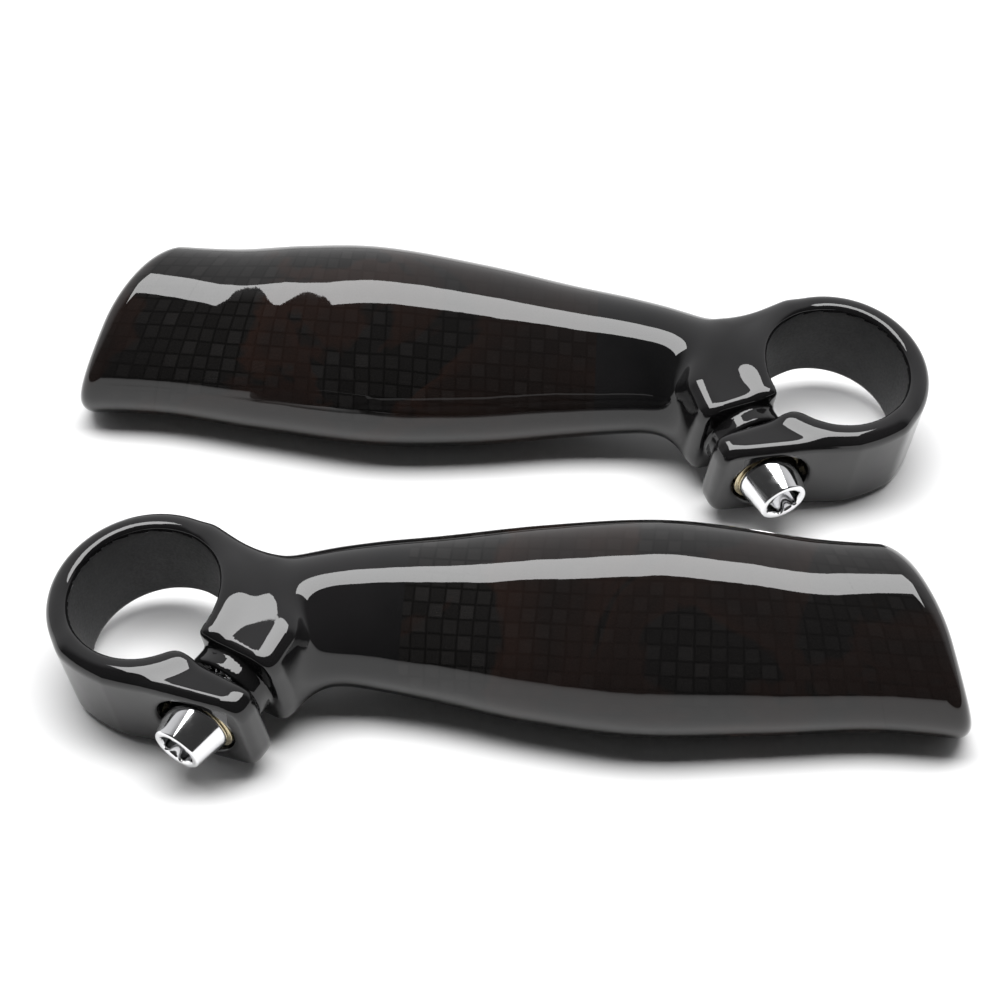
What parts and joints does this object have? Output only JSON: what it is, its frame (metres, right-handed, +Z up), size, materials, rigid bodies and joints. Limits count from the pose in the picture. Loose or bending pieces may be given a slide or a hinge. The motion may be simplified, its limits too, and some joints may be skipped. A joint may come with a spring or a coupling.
{
  "type": "bar end grips",
  "caption": "Pair of mirror-image carbon bar end grips: palm-swell grip blended into a split handlebar clamp with a hex-socket pinch bolt.",
  "frame": {"origin": "under the middle of the pair, on the surface they lie on", "axes": "+X from the left bar end's ring towards the right bar end's ring, +Z up from the surface, +Y away from the clamp bolts"},
  "size_m": [0.1338, 0.0977, 0.0276],
  "materials": {
    "carbon": "gloss clear coat over plain-weave carbon",
    "clamp_paint": "gloss black painted forged alloy, bore left matt",
    "insert_steel": "turned steel",
    "washer_brass": "yellow-passivated steel",
    "bolt_chrome": "bright chrome plate"
  },
  "bodies": {
    "left_bar_end": {"left_grip_shell": "carbon", "left_end_cap": "carbon", "left_clamp": "clamp_paint", "left_thread_insert": "insert_steel"},
    "left_washer": {"left_bolt_washer": "washer_brass"},
    "left_bolt": {"left_clamp_bolt": "bolt_chrome"},
    "right_bar_end": {"right_grip_shell": "carbon", "right_end_cap": "carbon", "right_clamp": "clamp_paint", "right_thread_insert": "insert_steel"},
    "right_washer": {"right_bolt_washer": "washer_brass"},
    "right_bolt": {"right_clamp_bolt": "bolt_chrome"}
  },
  "joints": [
    {"name": "left_bolt_travel", "type": "slide", "parent": "left_bar_end", "child": "left_washer", "axis": [-0.5505, -0.81, -0.2019], "range_m": [0, 0.015]},
    {"name": "left_bolt_spin", "type": "hinge", "parent": "left_washer", "child": "left_bolt", "pos_m": [-0.03657, -0.0339, 0.01135], "axis": [-0.5505, -0.81, -0.2019], "range_deg": [0, 5400]},
    {"name": "right_lift", "type": "slide", "parent": "left_bar_end", "child": "right_bar_end", "axis": [0, 0, 1], "range_m": [0, 0.15]},
    {"name": "right_bolt_travel", "type": "slide", "parent": "right_bar_end", "child": "right_washer", "axis": [0.4015, -0.8933, -0.2019], "range_m": [0, 0.015]},
    {"name": "right_bolt_spin", "type": "hinge", "parent": "right_washer", "child": "right_bolt", "pos_m": [0.03607, 0.01629, 0.01135], "axis": [0.4015, -0.8933, -0.2019], "range_deg": [0, 5400]}
  ],
  "couplings": [
    {"joint": "left_bolt_spin", "follows": "left_bolt_travel", "rad_per_m": 6283.2},
    {"joint": "right_bolt_spin", "follows": "right_bolt_travel", "rad_per_m": 6283.2}
  ]
}
